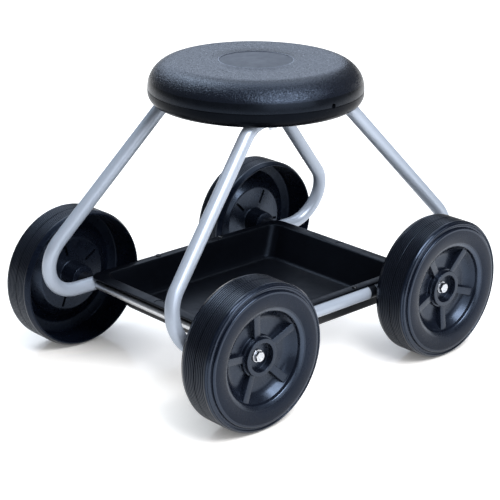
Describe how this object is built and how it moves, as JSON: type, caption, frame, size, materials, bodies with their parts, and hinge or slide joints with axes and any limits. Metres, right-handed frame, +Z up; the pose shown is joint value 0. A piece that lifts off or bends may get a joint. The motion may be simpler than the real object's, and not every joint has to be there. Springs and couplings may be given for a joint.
{
  "type": "rolling garden seat",
  "caption": "Low garden seat: a round plastic seat on bent tube frames, with a shallow tool tray between the rails and spoked plastic wheels that turn on fixed axles.",
  "frame": {"origin": "on the floor, midway between the axles and between the wheels", "axes": "+X along the rolling direction, +Y along the axles to the left, +Z up"},
  "size_m": [0.566, 0.44, 0.4274],
  "materials": {
    "seat_plastic": "grained satin",
    "wheel_plastic": "satin",
    "tray_plastic": "satin",
    "black_plastic": "satin",
    "silver_tube": "gloss",
    "zinc_steel": "bright zinc",
    "black_steel": "blackened",
    "axle_steel": "satin",
    "insert_brass": "satin"
  },
  "bodies": {
    "chassis": {"seat": "seat_plastic", "seat_inserts": "insert_brass", "seat_bolts": "zinc_steel", "seat_washers": "zinc_steel", "right_side_frame": "silver_tube", "left_side_frame": "silver_tube", "right_rail_joint": "black_plastic", "left_rail_joint": "black_plastic", "tray": "tray_plastic", "tray_screws": "black_steel", "front_axle": "axle_steel", "rear_axle": "axle_steel", "wheel_spacers": "black_plastic", "axle_washers": "zinc_steel", "axle_bolts": "zinc_steel"},
    "front_right": {"front_right_wheel": "wheel_plastic", "front_right_bush": "black_plastic"},
    "front_left": {"front_left_wheel": "wheel_plastic", "front_left_bush": "black_plastic"},
    "rear_right": {"rear_right_wheel": "wheel_plastic", "rear_right_bush": "black_plastic"},
    "rear_left": {"rear_left_wheel": "wheel_plastic", "rear_left_bush": "black_plastic"}
  },
  "joints": [
    {"name": "front_right_spin", "type": "hinge", "parent": "chassis", "child": "front_right", "pos_m": [0.1815, -0.192, 0.1015], "axis": [0, 1, 0], "continuous": true},
    {"name": "front_left_spin", "type": "hinge", "parent": "chassis", "child": "front_left", "pos_m": [0.1815, 0.192, 0.1015], "axis": [0, 1, 0], "continuous": true},
    {"name": "rear_right_spin", "type": "hinge", "parent": "chassis", "child": "rear_right", "pos_m": [-0.1815, -0.192, 0.1015], "axis": [0, 1, 0], "continuous": true},
    {"name": "rear_left_spin", "type": "hinge", "parent": "chassis", "child": "rear_left", "pos_m": [-0.1815, 0.192, 0.1015], "axis": [0, 1, 0], "continuous": true}
  ]
}
